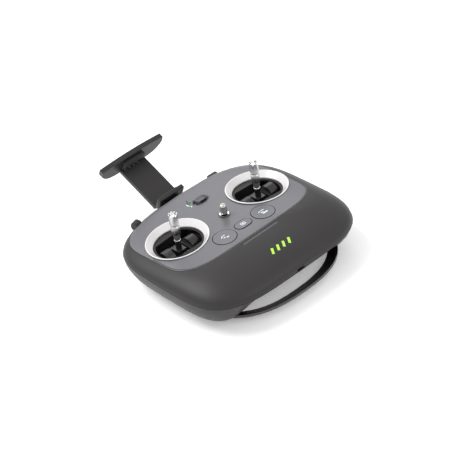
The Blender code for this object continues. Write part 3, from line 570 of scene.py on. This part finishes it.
class PushButtons(bpy.types.Operator):
    """Finish the push buttons, paint shade on their bevelled rims and print their generic icons"""

    bl_idname = "radio.push_buttons"
    bl_label = "Push buttons"

    def execute(self, context):
        for name in ("button_left", "button_right", "button_middle"):
            dress(deck_paint(), name)
            # Painted shade: each cap's bevelled rim is made near-black, as the groove round it lies in
            # shadow.
            tint_faces(name, groove_shade(), lambda middle, normal: normal.z < BUTTON_BEVEL)
        pale = print_and_shade_paint("icon_print", (0.72, 0.82, 0.9))
        for side, x, y, strokes in BUTTON_ICONS:
            strips = [((x + a[0], y + a[1]), (x + b[0], y + b[1]), width) for a, b, width in strokes]
            print_and_shade_strips("button_icon_" + side, "button_" + side, strips, INK, pale, side + "_button")
        return {"FINISHED"}


class ToggleAndSlider(bpy.types.Operator):
    """Finish the toggle switch and the power slider, with painted shade on the slider knob's outer walls"""

    bl_idname = "radio.toggle_and_slider"
    bl_label = "Toggle and slider"

    def execute(self, context):
        dress(chrome_plate(), "toggle_nut", "toggle_lever")
        dress(yoke_plastic(), "toggle_switch_body")
        dress(deck_paint(), "power_slider", "slider_tray")
        middle_y = deck_point(0.0, SLIDER_Y, 0.0).y
        # Painted shade: the slider knob's outer side walls are made near-black, as they lie in shadow.
        tint_faces("power_slider", groove_shade(), lambda middle, normal: abs(normal.z) < SLIDER_WALL
                   and abs(middle.y - middle_y) > SLIDER_END_REACH * MM)
        return {"FINISHED"}


class ShoulderControls(bpy.types.Operator):
    """Finish the shoulder dial and the shoulder button"""

    bl_idname = "radio.shoulder_controls"
    bl_label = "Shoulder controls"

    def execute(self, context):
        dress(clamp_plastic(), "shoulder_dial", "shoulder_button")
        return {"FINISHED"}


class PhoneClamp(bpy.types.Operator):
    """Finish the tilting phone clamp"""

    bl_idname = "radio.phone_clamp"
    bl_label = "Phone clamp"

    def execute(self, context):
        dress(clamp_plastic(), "clamp_bracket", "near_jaw", "arm_sleeve", "arm_tongue", "far_jaw",
              round_edges=0.25)
        dress(drawn_steel(), "clamp_hinge_pin")
        dress(matt_rubber(), "near_jaw_pad", "far_jaw_pad")
        return {"FINISHED"}


class CarryHandle(bpy.types.Operator):
    """Finish the carry handle, with a painted reflection on its outward walls, and its mounts and its pins
    """

    bl_idname = "radio.carry_handle"
    bl_label = "Carry handle"

    def execute(self, context):
        dress(handle_gloss(), "carry_handle")
        # Painted reflection: the handle's outward walls are made a lighter, warm brown, as they catch the
        # bright surround.
        tint_faces("carry_handle", painted_band_reflection(),
                   lambda middle, normal: abs(normal.z) < BAND_WALL and normal.xy.dot(middle.xy) > 0.0)
        dress(clamp_plastic(), "handle_mount_left", "handle_mount_right")
        dress(drawn_steel(), "handle_pin_left", "handle_pin_right")
        return {"FINISHED"}


class PortAndFeet(bpy.types.Operator):
    """Finish the charge inlet and the rubber feet"""

    bl_idname = "radio.port_and_feet"
    bl_label = "Charge inlet and feet"

    def execute(self, context):
        dress(yoke_plastic(), "charge_port")
        dress(matt_rubber(), "foot_near_left", "foot_near_right", "foot_far_left", "foot_far_right")
        return {"FINISHED"}


class InnerParts(bpy.types.Operator):
    """Finish what the shells hold"""

    bl_idname = "radio.inner_parts"
    bl_label = "Inner parts"

    def execute(self, context):
        dress(clamp_plastic(), "mid_frame")
        dress(board_laminate(), "main_circuit_board")
        dress(battery_wrap(), "battery_pack")
        dress(turned_brass(), "aerial_strip_left", "aerial_strip_right")
        return {"FINISHED"}


# ---- studio -------------------------------------------------------------------------------------
def area_light(name, location, size, power):
    """A round soft light aimed at the frame's origin; its size is a diameter."""
    data = bpy.data.lights.new(name, "AREA")
    data.shape = "DISK"
    data.size = size
    data.energy = power
    light = bpy.data.objects.new(name, data)
    light.location = location
    direction = -Vector(location)
    light.rotation_mode = "QUATERNION"
    light.rotation_quaternion = direction.to_track_quat("-Z", "Y")
    bpy.context.scene.collection.objects.link(light)


class Studio(bpy.types.Operator):
    """Add the pale floor, the soft lights and the camera"""

    bl_idname = "radio.studio"
    bl_label = "Studio"

    def execute(self, context):
        scene = context.scene
        settings = scene.radio_studio
        bm = bmesh.new()
        bmesh.ops.create_grid(bm, x_segments=FLOOR_CELLS, y_segments=FLOOR_CELLS,
                              size=FLOOR_HALF_SIZE)
        mesh = bpy.data.meshes.new("studio_floor")
        bm.to_mesh(mesh)
        bm.free()
        glow = {"Emission Color": (1.0, 1.0, 1.0, 1.0), "Emission Strength": settings.floor_glow}
        mesh.materials.append(finish_of("floor_paper", "moulded_grain", settings.floor_colour, glow,
                                        bump=0.02, Base_Roughness=0.6, Drift=0.01))
        floor = bpy.data.objects.new("studio_floor", mesh)
        scene.collection.objects.link(floor)

        world = bpy.data.worlds.new("white_surround")
        world.use_nodes = True
        surround = world.node_tree.nodes["Background"]
        surround.inputs["Color"].default_value = (1.0, 1.0, 1.0, 1.0)
        surround.inputs["Strength"].default_value = settings.sky_strength
        scene.world = world
        area_light("key_light", KEY_LIGHT_PLACE, KEY_LIGHT_SIZE, settings.key_power)
        area_light("far_panel", FAR_PANEL_PLACE, FAR_PANEL_SIZE, settings.key_power * FAR_PANEL_SHARE)
        area_light("front_light", FRONT_LIGHT_PLACE, FRONT_LIGHT_SIZE,
                   settings.key_power * FRONT_LIGHT_SHARE)
        scene.view_settings.view_transform = "Standard"
        scene.view_settings.look = "None"

        camera_data = bpy.data.cameras.new("studio_camera")
        camera_data.lens = CAMERA_LENS
        camera_data.sensor_width = CAMERA_SENSOR
        camera_data.clip_start = CAMERA_NEAR
        camera_data.clip_end = CAMERA_FAR
        camera = bpy.data.objects.new("studio_camera", camera_data)
        back = Vector((math.sin(CAMERA_AZIMUTH) * math.cos(CAMERA_ELEVATION),
                       -math.cos(CAMERA_AZIMUTH) * math.cos(CAMERA_ELEVATION),
                       math.sin(CAMERA_ELEVATION)))
        right = Vector((math.cos(CAMERA_AZIMUTH), math.sin(CAMERA_AZIMUTH), 0.0))
        up = back.cross(right)
        rolled_right = right * math.cos(CAMERA_ROLL) + up * math.sin(CAMERA_ROLL)
        rolled_up = up * math.cos(CAMERA_ROLL) - right * math.sin(CAMERA_ROLL)
        place = Matrix.Translation(deck_point(*CAMERA_TARGET) + back * CAMERA_DISTANCE * MM)
        camera.matrix_world = place @ Matrix((rolled_right, rolled_up, back)).transposed().to_4x4()
        scene.collection.objects.link(camera)
        scene.camera = camera
        return {"FINISHED"}


OPERATORS = (BodyShells, ControlDeck, Gimbals, PushButtons, ToggleAndSlider, ShoulderControls, PhoneClamp,
             CarryHandle, PortAndFeet, InnerParts, Studio)


class RadioPanel(bpy.types.Panel):
    """Colours, studio light settings and one button per piece"""

    bl_idname = "VIEW3D_PT_radio_transmitter"
    bl_label = "Radio transmitter"
    bl_space_type = "VIEW_3D"
    bl_region_type = "UI"
    bl_category = "Radio"

    def draw(self, context):
        for settings in (context.scene.radio_finishes, context.scene.radio_studio):
            for name in settings.__annotations__:
                self.layout.prop(settings, name)
        for operator in OPERATORS:
            self.layout.operator(operator.bl_idname)


CLASSES = (RadioFinishes, RadioStudio, *OPERATORS, RadioPanel)


def register():
    """Register every class and hang the settings on the scene."""
    for item in CLASSES:
        bpy.utils.register_class(item)
    bpy.types.Scene.radio_finishes = bpy.props.PointerProperty(type=RadioFinishes)
    bpy.types.Scene.radio_studio = bpy.props.PointerProperty(type=RadioStudio)


def unregister():
    """Undo register."""
    del bpy.types.Scene.radio_finishes
    del bpy.types.Scene.radio_studio
    for item in reversed(CLASSES):
        bpy.utils.unregister_class(item)


def main():
    """Run every operator in order."""
    register()
    for operator in OPERATORS:
        category, action = operator.bl_idname.split(".")
        getattr(getattr(bpy.ops, category), action)()


if __name__ == "__main__":
    main()
